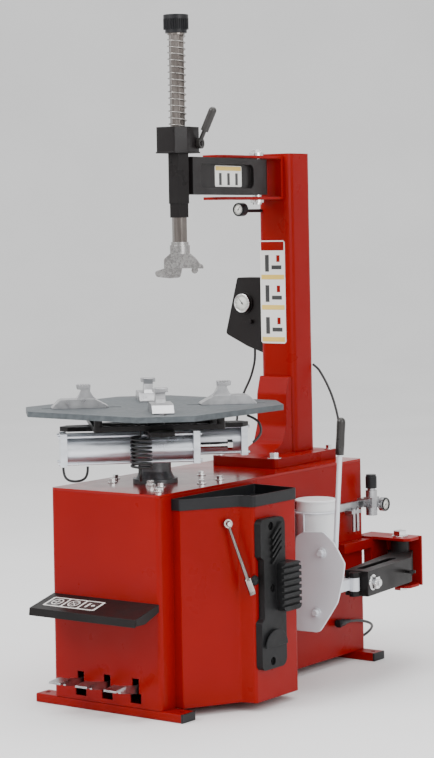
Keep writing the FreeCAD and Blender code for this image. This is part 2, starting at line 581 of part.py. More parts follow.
pivotBolt = fuse(rod(14, 160, ("pivotX", "pivotY", 206)), hexBar(36, 14, ("pivotX", "pivotY", 362)), rod(24, 4, ("pivotX", "pivotY", 358)),
                 hexBar(36, 10, ("pivotX", "pivotY", 201)))
node("bead_pivot_bolt", pivotBolt)

leaf = [(0, -38), (60, -10), (385, 15), (385, 87), (105, 87), (0, 38)]
topLeafArm = prism("XY", outline(leaf, [0, 30, 8, 8, 20, 0]), 6, at=(0, 0, "armHigh - 6"))
lowLeafArm = prism("XY", outline(leaf, [0, 30, 8, 8, 20, 0]), 6, at=(0, 0, "armLow"))
topLeafArm = cut(topLeafArm, prism("XY", outline(rect(130, 30, 350, 54), 11), 40, at=(0, 0, "armHigh - 20")))
hub = fuse(rod(38, "armHigh - armLow", (0, 0, "armLow")), rod(28, 129.4, (0, 0, 220.3)))
outerWeb = box((280, 6, "armHigh - armLow"), (105, 81, "armLow"))
slantWeb = prism("XY", outline([(4, 36.5), (8, 31), (108, 81), (105, 87)]), "armHigh - armLow", at=(0, 0, "armLow"))
frontPlate = box((6, 72, "armHigh - armLow"), (379, 15, "armLow"))
innerBar = prism("XY", outline([(55, -4), (56, -11), (284, 6.5), (284, 13.5)]), "armHigh - armLow", at=(0, 0, "armLow"))
ears = []
for z in (248, 300):
    ear = prism("XY", outline([(383, 34), (402, 36), (416, 44), (416, 58), (402, 66), (383, 68)], [0, 6, 6, 6, 6, 0]), 14, at=(0, 0, z))
    ears.append(ear)
hingePin = rod(8, 66, (400, 51, 248))
eye = fuse(rod(5, 18, (150, 86, 283), spin(xAxis, -90)), cut(rod(13, 7, (150, 108, 279.5)), rod(7, 30, (150, 108, 270))))
hub = cut(hub, rod("14 + fit", 200, (0, 0, 200)))
leafBore = rod(20, 200, (0, 0, 200))
outerWeb = cut(outerWeb, rod(10.02, 40, (360, 70, "rodHeight"), spin(xAxis, -90)))
shell = fuse(cut(fuse(topLeafArm, lowLeafArm), leafBore), outerWeb, slantWeb, frontPlate, innerBar, *ears)
node("bead_arm", fuse(hub, shell, hingePin, eye), at=pivotAt, turn=beadTurn)
nutParts = [rod(22, 4, (360, 87.02, "rodHeight"), spin(xAxis, -90)),
            hexBar(32, 15, (360, 91, "rodHeight"), spin(xAxis, -90)),
            rod(10, 32, (360, 81, "rodHeight"), spin(xAxis, -90))]
node("rod_nut", fuse(*nutParts), at=pivotAt, turn=beadTurn)
barrelAt = ("trunnionX", "trunnionY", "rodHeight")
barrel = rod("barrelRadius", 290, (-155, 0, 0), spin(yAxis, 90))
barrelBore = rod(62, 270, (-145, 0, 0), spin(yAxis, 90))
rodPort = rod("12 + fit", 60, (110, 0, 0), spin(yAxis, 90))
trunnions = [rod(15, 25, (0, 0, 64)), rod(15, 25, (0, 0, -89))]
node("bead_cylinder", fuse(cut(barrel, barrelBore, rodPort), *trunnions), at=barrelAt)
node("bead_rod", fuse(rod(12, 497, (-130, 0, 0), spin(yAxis, 90)), rod(61.6, 20, (-130, 0, 0), spin(yAxis, 90))), at=barrelAt)

bladeR = dim("bladeRadius")
arcMiddle = (540 - bladeR, 430)
ringEdges = circle(bladeR, arcMiddle) + circle(bladeR - dim("bladeThick"), arcMiddle)
bladeRing = prism("YZ", ringEdges, 170, at=(435, 0, 0))
bladeShape = [(437, 420), (464, 434), (530, 438), (563, 412), (601, 357), (598, 314), (588, 250), (545, 170), (437, 168)]
bladeMask = prism("XZ", outline(bladeShape, [18, 16, 14, 14, 12, 14, 20, 16, 16]), 200, lift=-620)
curved = doc.addObject("Part::Common", "curved")
curved.Base = bladeRing
curved.Tool = bladeMask
backBar = box((40, 12, 176), (505, 541, 236))
bars = [box((40, 40, 12), (505, 512, 246)), box((40, 8, 12), (505, 535, 380))]
armTip = beadTurn.multVec(vec(400, 51, 0)) + vec(px, py, 0)
tipHub = rod(15, 37.4, (armTip.x, armTip.y, 262.3))
stub = box((28, armTip.y - 552 - 4, 30), (armTip.x - 32, 552, 266))
tipBore = rod("8 + fit", 100, (armTip.x, armTip.y, 230))
bladeBolts = [hexBolt((525, y, z), 17, spin(xAxis, 90), 0) for y, z in ((533, 380), (502.4, 220))]
handleLean = spin(yAxis, 4.3)
handleAt = (548, 560.1, 320)
clamp = cut(box((62, 24, 28), (505, 549, 334)), rod(7.02, 340, handleAt, handleLean))
node("bead_blade", cut(fuse(curved, backBar, stub, tipHub, clamp, *(bars + bladeBolts)), tipBore))
handleParts = [rod(7, 340, handleAt, handleLean), rod(11.5, 92, (572.3, 560.1, 652), handleLean),
               ball(11.4, (579.2, 560.1, 743.6))]
node("blade_handle", fuse(*handleParts))

# Lube bucket in its wire ring
bucketAt = ("bucketX", "bucketY", 0)
pailOut = [(0, 330), (48, 330), (52, 336), (56, 500), (56, 506), (0, 506)]
pail = cut(lathe(pailOut), lathe([(0, 333), (46, 333), (49.5, 338), (53.5, 520), (0, 520)]))
node("bucket", pail, at=bucketAt)
lidShape = lathe([(0, 506.5), (59, 506.5), (59, 511), (56, 513), (0, 513)])
node("bucket_lid", lidShape, at=bucketAt)
wireRing = doc.addObject("Part::Torus", "wireRing")
bind(wireRing, "Radius1", 61)
bind(wireRing, "Radius2", 3)
put(wireRing, (0, 0, 478))
lowRing = doc.addObject("Part::Torus", "lowRing")
bind(lowRing, "Radius1", 58)
bind(lowRing, "Radius2", 3)
put(lowRing, (0, 0, 350))
uprights = [rod(3, 134, (61.5 * math.cos(a), 61.5 * math.sin(a), 347)) for a in (math.radians(180), math.radians(270), math.radians(90))]
restPlate = rod(60, 4, (0, 0, 325))
ringLink = box((8, 30, 150), (-65.9, -15, 326))
node("bucket_ring", fuse(wireRing, lowRing, restPlate, ringLink, *uprights), at=bucketAt)

# Air unit at the rear of the cabinet
unitX = 404
unitBody = fuse(rod(17, 74, (unitX, 985, 424)), box((30, 40, 30), (unitX - 15, 965, 448)), rod(12, 16, (unitX, 985, 488)))
unitPlate = box((10, 170, 22), ("cabWidth", 846, 446))
unitTop = box((40, 60, 8), ("cabWidth", 960, 466))
dialBody = fuse(rod(21, 14, (unitX + 8, 1028, 452), spin(yAxis, 90)), rod(6, 40, (unitX + 12, 1000, 452), spin(xAxis, -90)))
pins = [rod(5, 66, (392, y, 384)) for y in (905, 925)]
pinTies = [box((26, 50, 10), ("cabWidth", 890, 436))]
node("air_regulator", fuse(unitBody, unitPlate, unitTop, dialBody, *(pins + pinTies)))
node("regulator_knob", cut(fuse(rod(17, 34, (0, 0, 504.3)), rod(15, 6, (0, 0, 538.3))), rod(6, 20, (0, 0, 500))), at=(unitX, 985, 0))

# Mains lead: gland, free cable, coil and plug
node("cable_gland", cut(fuse(rod(10.5, 30, (383.5, 823, 124), spin(xAxis, -90)), hexBar(22, 9, (383.5, 826, 124), spin(xAxis, -90)),
                             rod(7, 18, ("cabWidth - 4", 834, 124), spin(yAxis, 90))),
                        rod("cableRadius", 30, (383.5, 840, 124), spin(xAxis, -90))))

coilX, coilY, coilRadius = 60, 1115, 44
lead = [(383.5, 853, 124), (384, 905, 122), (386, 960, 112), (384, 1012, 94), (352, 1050, 66), (304, 1066, 36),
        (250, 1068, 12), (196, 1066, 4.3), (142, 1056, 4.3), (92, 1058, 4.3)]
leadEnd = [(92, 1171.5, 12.4), (122, 1168, 12.4), (154, 1158, 13)]
cable = Part.makeCompound([tubeShape(lead, dim("cableRadius"), "power_cable"),
                           tubeShape(leadEnd, dim("cableRadius"), "power_cable end")])
node("power_cable", feature(cable))
coilRing = cut(rod("%d + 4.3 * cableRadius" % coilRadius, "4 * cableRadius + 0.6", (coilX, coilY, 0.2)),
               rod("%d - 4.3 * cableRadius" % coilRadius, 60, (coilX, coilY, -10)))
node("power_cable_coil", coilRing)
plugTurn = spin(zAxis, -15)
plugBody = prism("YZ", outline([(-16, 0.3), (16, 0.3), (16, 26), (-16, 26)], 8), 46)
plugPins = [box((20, 6.4, 1.6), (45, y, 12)) for y in (-9.5, 3.1)]
node("power_plug", fuse(plugBody, *plugPins), at=(155, 1156, 0), turn=plugTurn)

# Air hoses, held at both ends
hoseLeft = [(50, 900, 921.5), (48, 902, 880), (34, 900, 830), (14, 885, 780), (8, 862, 726), (18, 838, 672), (38, 826, 630), (44, 824, 592)]
hoseRight = [(243.9, 925, 872), (262, 928, 858), (284, 934, 820), (304, 937, 776), (322, 934, 726), (334, 928, 678),
             (340, 922, 634), (341, 920, 592)]
hoses = [tubeShape(hoseLeft, 3.5, "hose left"), tubeShape(hoseRight, 3.5, "hose right")]
node("air_hoses", feature(Part.makeCompound(hoses)))
curlyHose = rod(30.5, 91, (-50, -160, 642.5))
topLead = [(-50, -133, 733.5), (-50, -133, 748), (-53, -128, 765), (-60, -120, 781)]
lowLead = [(-50, -137, 642.5), (-50, -137, 623), (-50, -122, 608), (-50, -101, 608), (-50, -86, 623), (-50, -86, 646)]
rightLoop = [(250, -58, 772), (276, -66, 762), (288, -74, 738), (282, -80, 714), (262, -84, 700)]
leftLoop = [(-256, -86, 647.5), (-256, -86.5, 625), (-240, -88, 609), (-207, -88, 609), (-190, -86.5, 624), (-190, -84, 646)]
hoseRuns = [tubeShape(run, 3.5, "table hose") for run in (topLead, lowLead, rightLoop, leftLoop)]
tableHoses = group(curlyHose, *[feature(run) for run in hoseRuns])
node("turntable_hoses", tableHoses, at=tableAt, turn=spin(zAxis, dim("tableTurn")))

# Tire lever on its pin, and the fasteners
faceOut = vec(145, -83, 0).normalize()
eyeAt = vec(463, 171, 503) + faceOut * 13
footAt = vec(532, 192, 315)
leverDown = (footAt - eyeAt).normalize()
leverSide = leverDown.cross(faceOut).normalize()
leverFace = leverSide.cross(leverDown).normalize()
leverRotation = FreeCAD.Rotation(leverFace, leverSide, leverDown, "ZXY")
leverEye = cut(rod(12, 7, (-3.5, 0, 0), spin(yAxis, 90)), rod(7, 40, (-20, 0, 0), spin(yAxis, 90)))
leverBar = cone(4, 5.5, 150, (0, 0, 9))
leverSpoon = prism("XZ", outline([(-3, 150), (4, 154), (4.5, 190), (1, 200), (-2.5, 192)], [1.5, 2, 2, 1, 2]), 16, lift=-8)
lever = fuse(leverEye, leverBar, leverSpoon)
node("tire_lever", lever, at=tuple(eyeAt), turn=leverRotation)
print("tire lever length %.0f mm" % (footAt - eyeAt).Length)
pinTurn = FreeCAD.Rotation(zAxis, faceOut)
pinStart = vec(463, 171, 503) + faceOut * 0.3
leverPin = put(fuse(rod(4, 24), rod(7, 2), rod(5.5, 3, (0, 0, 20))), tuple(pinStart), pinTurn)
fasteners = [hexBolt((x, y, "cabTop + 0.02"), 15, None, 5.9) for x, y in deckBolts]
fasteners += [hexBolt((x, y, "baseTop"), 24 if i == 0 else 17, None, 8) for i, (x, y) in enumerate(baseBolts)]
fasteners.append(leverPin)
fasteners.append(put(fuse(rod(14, 6), rod(8, 16), hexBar(20, 8, (0, 0, 6))), (222, 158, "cabTop + 0.02")))
node("hex_bolts", group(*fasteners))

# Checks and export
doc.recompute()
for obj in doc.Objects:
    if "Invalid" in obj.State or "Error" in obj.State:
        raise ValueError("%s is %s" % (obj.Name, obj.State))
whole = FreeCAD.BoundBox()
for obj in nodes:
    shape = obj.Shape
    if shape.isNull() or not shape.isValid() or not shape.Solids:
        raise ValueError("%s has a bad shape" % obj.Label)
    if obj.Label not in ("power_cable", "power_cable_coil", "power_plug"):
        whole.add(shape.BoundBox)
    shape.exportStep("parts/%s.step" % obj.Label)
    box = shape.BoundBox
    low = (box.XMin + dim("midX"), box.YMin + dim("midY"), box.ZMin)
    high = (box.XMax + dim("midX"), box.YMax + dim("midY"), box.ZMax)
    print("%-20s solids %d, volume %.1f cm3, from %.0f %.0f %.0f to %.0f %.0f %.0f"
          % ((obj.Label, len(shape.Solids), shape.Volume / 1000) + low + high))
print("middle %.2f %.2f, size %.1f %.1f %.1f" % (whole.Center.x, whole.Center.y, whole.XLength, whole.YLength, whole.ZLength))
print(len(nodes), "nodes")
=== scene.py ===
import json
import math

import bmesh
import bpy
from mathutils import Matrix, Vector

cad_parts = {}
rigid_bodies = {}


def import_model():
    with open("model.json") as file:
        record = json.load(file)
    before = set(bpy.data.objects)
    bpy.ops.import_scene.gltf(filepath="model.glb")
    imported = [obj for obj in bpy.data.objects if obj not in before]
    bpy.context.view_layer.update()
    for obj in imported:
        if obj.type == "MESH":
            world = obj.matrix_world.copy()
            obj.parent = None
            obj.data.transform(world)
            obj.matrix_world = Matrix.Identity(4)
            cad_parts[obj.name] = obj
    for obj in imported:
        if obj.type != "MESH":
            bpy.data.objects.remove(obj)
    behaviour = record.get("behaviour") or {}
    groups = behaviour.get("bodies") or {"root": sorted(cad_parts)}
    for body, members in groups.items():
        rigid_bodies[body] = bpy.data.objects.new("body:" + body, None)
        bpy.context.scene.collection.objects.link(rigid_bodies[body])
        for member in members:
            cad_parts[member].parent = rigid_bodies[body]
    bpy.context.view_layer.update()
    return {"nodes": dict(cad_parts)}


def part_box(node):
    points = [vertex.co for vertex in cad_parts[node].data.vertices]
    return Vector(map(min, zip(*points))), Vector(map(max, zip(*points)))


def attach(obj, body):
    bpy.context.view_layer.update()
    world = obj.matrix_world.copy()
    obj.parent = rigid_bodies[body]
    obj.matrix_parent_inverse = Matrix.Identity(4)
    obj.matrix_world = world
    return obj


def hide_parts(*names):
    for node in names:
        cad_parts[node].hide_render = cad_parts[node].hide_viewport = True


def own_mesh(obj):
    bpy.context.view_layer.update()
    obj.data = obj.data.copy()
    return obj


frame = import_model()

# every place below is counted in mm from the cabinet's front left bottom corner
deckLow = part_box("top_deck")[0]
cabinetCorner = Vector((deckLow[0], deckLow[1], 0))


def at(x, y, z):
    return cabinetCorner + Vector((x, y, z)) / 1000


def middleOf(node):
    low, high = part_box(node)
    return (Vector(low) + Vector(high)) / 2


tableMiddle = middleOf("turntable_pedestal")
shaftMiddle = middleOf("tool_shaft")
tableTurn = math.radians(43)
armLean = math.atan2(73, 475)      # the swing arm leans this far from straight ahead


# every finish starts from one shader and the piece's own coordinates
def startMaterial(name):
    mat = bpy.data.materials.new(name)
    mat.use_nodes = True
    tree = mat.node_tree
    shader = tree.nodes["Principled BSDF"]
    coords = tree.nodes.new("ShaderNodeTexCoord")
    return mat, tree, shader, coords.outputs["Object"]


def noise(tree, coords, scale, detail=3, stretch=(1, 1, 1)):
    mapping = tree.nodes.new("ShaderNodeMapping")
    mapping.inputs["Scale"].default_value = stretch
    tree.links.new(coords, mapping.inputs["Vector"])
    node = tree.nodes.new("ShaderNodeTexNoise")
    node.inputs["Scale"].default_value = scale
    node.inputs["Detail"].default_value = detail
    tree.links.new(mapping.outputs["Vector"], node.inputs["Vector"])
    return node.outputs["Fac"]


def ramp(tree, value, low, high, lowColor, highColor):
    node = tree.nodes.new("ShaderNodeValToRGB")
    node.color_ramp.elements[0].position = low
    node.color_ramp.elements[0].color = (*lowColor, 1)
    node.color_ramp.elements[1].position = high
    node.color_ramp.elements[1].color = (*highColor, 1)
    tree.links.new(value, node.inputs["Fac"])
    return node.outputs["Color"]


def spread(tree, value, low, high):
    node = tree.nodes.new("ShaderNodeMapRange")
    node.inputs["From Min"].default_value = 0.3
    node.inputs["From Max"].default_value = 0.7
    node.inputs["To Min"].default_value = low
    node.inputs["To Max"].default_value = high
    tree.links.new(value, node.inputs["Value"])
    return node.outputs["Result"]


def roundEdges(tree, shader, height, strength, distance, radius):
    bevel = tree.nodes.new("ShaderNodeBevel")
    bevel.samples = 4
    bevel.inputs["Radius"].default_value = radius
    bump = tree.nodes.new("ShaderNodeBump")
    bump.inputs["Strength"].default_value = strength
    bump.inputs["Distance"].default_value = distance
    tree.links.new(height, bump.inputs["Height"])
    tree.links.new(bevel.outputs["Normal"], bump.inputs["Normal"])
    tree.links.new(bump.outputs["Normal"], shader.inputs["Normal"])


# mixes a scuff colour in where two noises meet
def wear(tree, coords, color, scuffColor, amount):
    patches = noise(tree, coords, 9, 4)
    fine = noise(tree, coords, 160, 4)
    both = tree.nodes.new("ShaderNodeMath")
    both.operation = "MULTIPLY"
    tree.links.new(patches, both.inputs[0])
    tree.links.new(fine, both.inputs[1])
    mask = ramp(tree, both.outputs[0], 0.42 - amount, 0.5, (0, 0, 0), (1, 1, 1))
    mix = tree.nodes.new("ShaderNodeMix")
    mix.data_type = "RGBA"
    tree.links.new(mask, mix.inputs[0])
    tree.links.new(color, mix.inputs[6])
    mix.inputs[7].default_value = (*scuffColor, 1)
    return mix.outputs[2]


def paintFinish(name, dark, light, roughness, coat, scuff=None, metallic=0.0, peel=0.12, edge=0.0022,
                shine=0.5):
    mat, tree, shader, coords = startMaterial(name)
    cloud = noise(tree, coords, 2.2, 3)
    color = ramp(tree, cloud, 0.35, 0.65, dark, light)
    if scuff:
        color = wear(tree, coords, color, scuff, 0.02)
    tree.links.new(color, shader.inputs["Base Color"])
    shader.inputs["Metallic"].default_value = metallic
    shader.inputs["Specular IOR Level"].default_value = shine
    shader.inputs["Coat Weight"].default_value = coat
    shader.inputs["Coat Roughness"].default_value = 0.06
    smear = noise(tree, coords, 14, 4)
    tree.links.new(spread(tree, smear, roughness * 0.75, roughness * 1.3), shader.inputs["Roughness"])
    roundEdges(tree, shader, noise(tree, coords, 420, 2), peel, 0.0004, edge)
    return mat


def steelFinish(name, dark, light, roughness, stretch, grain=90, edge=0.0012, metallic=1.0):
    mat, tree, shader, coords = startMaterial(name)
    streaks = noise(tree, coords, grain, 5, stretch)
    clouds = noise(tree, coords, 7, 3)
    mixed = tree.nodes.new("ShaderNodeMath")
    mixed.operation = "MULTIPLY_ADD"
    mixed.inputs[1].default_value = 0.6
    tree.links.new(streaks, mixed.inputs[0])
    scaled = tree.nodes.new("ShaderNodeMath")
    scaled.operation = "MULTIPLY"
    scaled.inputs[1].default_value = 0.4
    tree.links.new(clouds, scaled.inputs[0])
    tree.links.new(scaled.outputs[0], mixed.inputs[2])
    tree.links.new(ramp(tree, mixed.outputs[0], 0.36, 0.64, dark, light), shader.inputs["Base Color"])
    shader.inputs["Metallic"].default_value = metallic
    tree.links.new(spread(tree, mixed.outputs[0], roughness * 0.7, roughness * 1.35),
                   shader.inputs["Roughness"])
    roundEdges(tree, shader, streaks, 0.12, 0.0003, edge)
    return mat


def plasticFinish(name, dark, light, roughness, grain=700, strength=0.25, edge=0.0015, shine=0.5):
    mat, tree, shader, coords = startMaterial(name)
    color = ramp(tree, noise(tree, coords, 5, 4), 0.35, 0.7, dark, light)
    tree.links.new(color, shader.inputs["Base Color"])
    shader.inputs["Specular IOR Level"].default_value = shine
    tree.links.new(spread(tree, noise(tree, coords, 30, 3), roughness * 0.8, roughness * 1.2),
                   shader.inputs["Roughness"])
    roundEdges(tree, shader, noise(tree, coords, grain, 2), strength, 0.0003, edge)
    return mat


red = paintFinish("redEnamel", (0.20, 0.0012, 0.0005), (0.235, 0.002, 0.001), 0.34, 0.02, peel=0.05,
                  edge=0.004, shine=0.12)
blackPaint = paintFinish("blackPaint", (0.006, 0.005, 0.005), (0.011, 0.009, 0.009), 0.36, 0.0,
                         scuff=(0.03, 0.026, 0.024), shine=0.2)
deckRed = paintFinish("deckEnamel", (0.22, 0.003, 0.002), (0.26, 0.005, 0.003), 0.16, 0.04, peel=0.04,
                      shine=0.22)
silverPaint = paintFinish("silverPaint", (0.62, 0.64, 0.68), (0.72, 0.74, 0.78), 0.42, 0.1,
                          metallic=0.25, peel=0.1)
tableSteel = steelFinish("tableSteel", (0.075, 0.085, 0.092), (0.125, 0.14, 0.15), 0.5, (1, 1, 1),
                         grain=60, edge=0.002, metallic=0.7)
machinedSteel = steelFinish("machinedSteel", (0.36, 0.36, 0.37), (0.50, 0.50, 0.51), 0.3, (1, 1, 1),
                            grain=45)
shaftSteel = steelFinish("shaftSteel", (0.13, 0.11, 0.10), (0.3, 0.27, 0.25), 0.24, (1, 1, 0.05),
                         grain=120)
castSteel = steelFinish("castSteel", (0.26, 0.25, 0.245), (0.44, 0.43, 0.42), 0.28, (1, 1, 1), grain=150)
aluminium = steelFinish("drawnAluminium", (0.66, 0.69, 0.74), (0.82, 0.85, 0.9), 0.32, (0.25, 0.25, 1),
                        grain=70, metallic=0.8)
chrome = steelFinish("zincChrome", (0.70, 0.70, 0.70), (0.86, 0.86, 0.85), 0.14, (1, 1, 1), grain=40)
castGrey = paintFinish("castGrey", (0.05, 0.05, 0.052), (0.09, 0.09, 0.092), 0.5, 0.0, peel=0.5)
darkSteel = steelFinish("darkSteel", (0.05, 0.05, 0.055), (0.12, 0.12, 0.125), 0.34, (1, 1, 1), grain=60)
rubber = plasticFinish("mouldedRubber", (0.005, 0.005, 0.005), (0.011, 0.011, 0.012), 0.46, 500, 0.2,
                       shine=0.2)
hoseRubber = plasticFinish("hoseRubber", (0.009, 0.009, 0.010), (0.018, 0.018, 0.019), 0.36, 900, 0.15)
blackPlastic = plasticFinish("blackPlastic", (0.007, 0.007, 0.008), (0.014, 0.014, 0.016), 0.36,
                             shine=0.25)
gripPlastic = plasticFinish("gripPlastic", (0.016, 0.014, 0.013), (0.03, 0.027, 0.025), 0.3, 300, 0.3)
whitePlastic = plasticFinish("whitePlastic", (0.74, 0.75, 0.76), (0.84, 0.85, 0.86), 0.36, 60, 0.08)
springWire = steelFinish("springWire", (0.22, 0.21, 0.20), (0.4, 0.38, 0.36), 0.3, (1, 1, 1), grain=200)
dialWhite = plasticFinish("dialWhite", (0.62, 0.62, 0.58), (0.72, 0.72, 0.68), 0.5, 200, 0.05)
labelWhite = plasticFinish("labelWhite", (0.66, 0.66, 0.63), (0.74, 0.74, 0.71), 0.4, 200, 0.05)
labelYellow = plasticFinish("labelYellow", (0.62, 0.42, 0.08), (0.7, 0.5, 0.12), 0.4, 200, 0.05)
labelBlack = plasticFinish("labelBlack", (0.02, 0.02, 0.02), (0.03, 0.03, 0.03), 0.4, 200, 0.05)

nodeFinish = {
    "cabinet": red, "top_deck": deckRed, "floor_feet": red, "column": red, "column_base": red,
    "hinge_fork": red, "bead_bracket": red, "side_tray": blackPlastic, "pedal_cover": blackPaint,
    "bead_pad": rubber, "pedal_left": machinedSteel, "pedal_middle": machinedSteel,
    "pedal_right": machinedSteel, "pedal_shaft": darkSteel, "gearbox": castGrey, "motor": castGrey,
    "gearbox_pulley": castGrey, "motor_pulley": castGrey, "drive_belt": hoseRubber,
    "turntable_pedestal": darkSteel, "turntable_plate": tableSteel, "turntable_frame": blackPaint,
    "clamp_cylinders": aluminium, "clamp_rod_front": chrome, "clamp_rod_rear": chrome,
    "turntable_hoses": hoseRubber, "arm_pin": chrome, "arm_beam": blackPaint,
    "guide_sleeve": blackPaint, "lock_box": blackPaint, "lock_lever": gripPlastic,
    "tool_shaft": shaftSteel, "shaft_cap": blackPlastic, "mount_head": castSteel,
    "gauge_box": blackPaint, "arm_gauge": blackPlastic, "bead_arm": blackPaint,
    "bead_pivot_bolt": chrome, "rod_nut": chrome, "bead_cylinder": aluminium, "bead_rod": chrome,
    "bead_blade": silverPaint, "blade_handle": silverPaint, "bucket": whitePlastic,
    "bucket_lid": whitePlastic, "bucket_ring": silverPaint, "air_regulator": machinedSteel,
    "regulator_knob": blackPlastic, "cable_gland": blackPlastic, "power_plug": blackPlastic,
    "air_hoses": hoseRubber, "tire_lever": shaftSteel, "hex_bolts": chrome, "jaw_1": machinedSteel,
    "jaw_2": machinedSteel, "jaw_3": machinedSteel, "jaw_4": machinedSteel,
}
for node, mat in nodeFinish.items():
    obj = frame["nodes"][node]
    if obj.material_slots:
        for place in obj.material_slots:
            place.material = mat
    else:
        obj.data.materials.append(mat)
print("finishes on", len(nodeFinish), "frame parts")


# puts the finish on, bakes the modifiers in and hangs the piece on its body
def finishPiece(obj, mat, body, smooth=True, bevel=0.0):
    if not obj.data.materials:
        obj.data.materials.append(mat)
    if bevel:
        mod = obj.modifiers.new("edges", "BEVEL")
        mod.width = bevel
        mod.segments = 3
        mod.limit_method = "ANGLE"
        mod.angle_limit = math.radians(40)
        graph = bpy.context.evaluated_depsgraph_get()
        mesh = bpy.data.meshes.new_from_object(obj.evaluated_get(graph))
        obj.modifiers.clear()
        obj.data = mesh
    for face in obj.data.polygons:
        face.use_smooth = smooth
    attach(obj, body)
    return obj


def newPiece(name, bm, place=None):
    if place is not None:
        bm.transform(place)
    bmesh.ops.remove_doubles(bm, verts=bm.verts, dist=1e-6)
    bmesh.ops.recalc_face_normals(bm, faces=bm.faces)
    mesh = bpy.data.meshes.new(name)
    bm.to_mesh(mesh)
    bm.free()
    obj = bpy.data.objects.new(name, mesh)
    bpy.context.scene.collection.objects.link(obj)
    return obj


def addBlock(bm, size, middle, turn=None):
    made = bmesh.ops.create_cube(bm, size=1)["verts"]
    matrix = Matrix.Translation(middle) @ (turn or Matrix()) @ Matrix.Diagonal((*size, 1))
    bmesh.ops.transform(bm, matrix=matrix, verts=made)


# turns (radius, height) points about Z; points on the axis close the ends
def addLathe(bm, profile, place=None, steps=48):
    rings = []
    for radius, height in profile:
        if radius < 1e-7:
            rings.append([bm.verts.new((0, 0, height))])
        else:
            rings.append([bm.verts.new((radius * math.cos(2 * math.pi * i / steps),
                                        radius * math.sin(2 * math.pi * i / steps),
                                        height)) for i in range(steps)])
    for low, high in zip(rings, rings[1:]):
        for i in range(steps):
            j = (i + 1) % steps
            corners = [low[i % len(low)], low[j % len(low)], high[j % len(high)], high[i % len(high)]]
            kept = []
            for corner in corners:
                if corner not in kept:
                    kept.append(corner)
            if len(kept) > 2:
                bm.faces.new(kept)
    if place is not None:
        bmesh.ops.transform(bm, matrix=place, verts=[v for ring in rings for v in ring])


# an outline in XY, raised by thickness
def addPlate(bm, outline, thickness, place=None):
    low = [bm.verts.new((x, y, 0)) for x, y in outline]
    high = [bm.verts.new((x, y, thickness)) for x, y in outline]
    bm.faces.new(list(reversed(low)))
    bm.faces.new(high)
    for i in range(len(outline)):
        j = (i + 1) % len(outline)
        bm.faces.new((low[i], low[j], high[j], high[i]))
    if place is not None:
        bmesh.ops.transform(bm, matrix=place, verts=low + high)


# a round tube along one smooth curve through the run of points
def tubeMesh(name, points, radius):
    curve = bpy.data.curves.new(name, "CURVE")
    curve.dimensions = "3D"
    curve.bevel_depth = radius
    curve.bevel_resolution = 4
    curve.use_fill_caps = True
    curve.resolution_u = 8
    spline = curve.splines.new("NURBS")
    spline.points.add(len(points) - 1)
    for place, point in zip(spline.points, points):
        place.co = (*point, 1)
    spline.order_u = 3
    spline.use_endpoint_u = True
    obj = bpy.data.objects.new(name, curve)
    bpy.context.scene.collection.objects.link(obj)
    return obj


def joinTubes(name, tubes):
    bm = bmesh.new()
    graph = bpy.context.evaluated_depsgraph_get()
    for tube in tubes:
        mesh = bpy.data.meshes.new_from_object(tube.evaluated_get(graph))
        bm.from_mesh(mesh)
        bpy.data.meshes.remove(mesh)
        bpy.data.objects.remove(tube)
    return newPiece(name, bm)


# a place in the table's own turned frame, mm from the spindle's axis at floor level
def inTable(x, y, z):
    c, s = math.cos(tableTurn), math.sin(tableTurn)
    return Vector((tableMiddle.x + (x * c - y * s) / 1000, tableMiddle.y + (x * s + y * c) / 1000,
                   z / 1000))


# a matrix that stands +Z along direction at origin
def upFrom(origin, direction):
    return Matrix.Translation(origin) @ Vector(direction).to_track_quat("Z", "Y").to_matrix().to_4x4()


# builds one geometry node tree, with its inputs found again by their labels
class TreeMaker:
    def __init__(self, name):
        self.tree = bpy.data.node_groups.new(name, "GeometryNodeTree")
        self.tree.interface.new_socket("Geometry", in_out="OUTPUT", socket_type="NodeSocketGeometry")
        self.ids = {}
        self.source = self.tree.nodes.new("NodeGroupInput")
        self.sink = self.tree.nodes.new("NodeGroupOutput")

    def value(self, label, start, kind="NodeSocketFloat"):
        socket = self.tree.interface.new_socket(label, in_out="INPUT", socket_type=kind)
        if start is not None:
            socket.default_value = start
        self.ids[label] = socket.identifier
        return self.source.outputs[label]

    def add(self, kind, **settings):
        node = self.tree.nodes.new(kind)
        for key, value in settings.items():
            setattr(node, key, value)
        return node

    def link(self, first, second):
        self.tree.links.new(first, second)

    def finish(self, geometry, material):
        real = self.add("GeometryNodeRealizeInstances")
        paint = self.add("GeometryNodeSetMaterial")
        self.link(geometry, real.inputs["Geometry"])
        self.link(real.outputs["Geometry"], paint.inputs["Geometry"])
        self.link(material, paint.inputs["Material"])
        self.link(paint.outputs["Geometry"], self.sink.inputs["Geometry"])
        return self


# a wire wound as a helix about Z
def coilTree():
    make = TreeMaker("coilOfWire")
    radius = make.value("Radius", 0.025)
    rise = make.value("Rise", 0.2)
    turns = make.value("Turns", 10.0)
    wire = make.value("Wire", 0.0015)
    material = make.value("Material", None, "NodeSocketMaterial")
    spiral = make.add("GeometryNodeCurveSpiral")
    spiral.inputs["Resolution"].default_value = 28
    make.link(turns, spiral.inputs["Rotations"])
    make.link(radius, spiral.inputs["Start Radius"])
    make.link(radius, spiral.inputs["End Radius"])
    make.link(rise, spiral.inputs["Height"])
    ring = make.add("GeometryNodeCurvePrimitiveCircle")
    ring.inputs["Resolution"].default_value = 10
    make.link(wire, ring.inputs["Radius"])
    sweep = make.add("GeometryNodeCurveToMesh")
    sweep.inputs["Fill Caps"].default_value = True
    make.link(spiral.outputs["Curve"], sweep.inputs["Curve"])
    make.link(ring.outputs["Curve"], sweep.inputs["Profile Curve"])
    return make.finish(sweep.outputs["Mesh"], material)


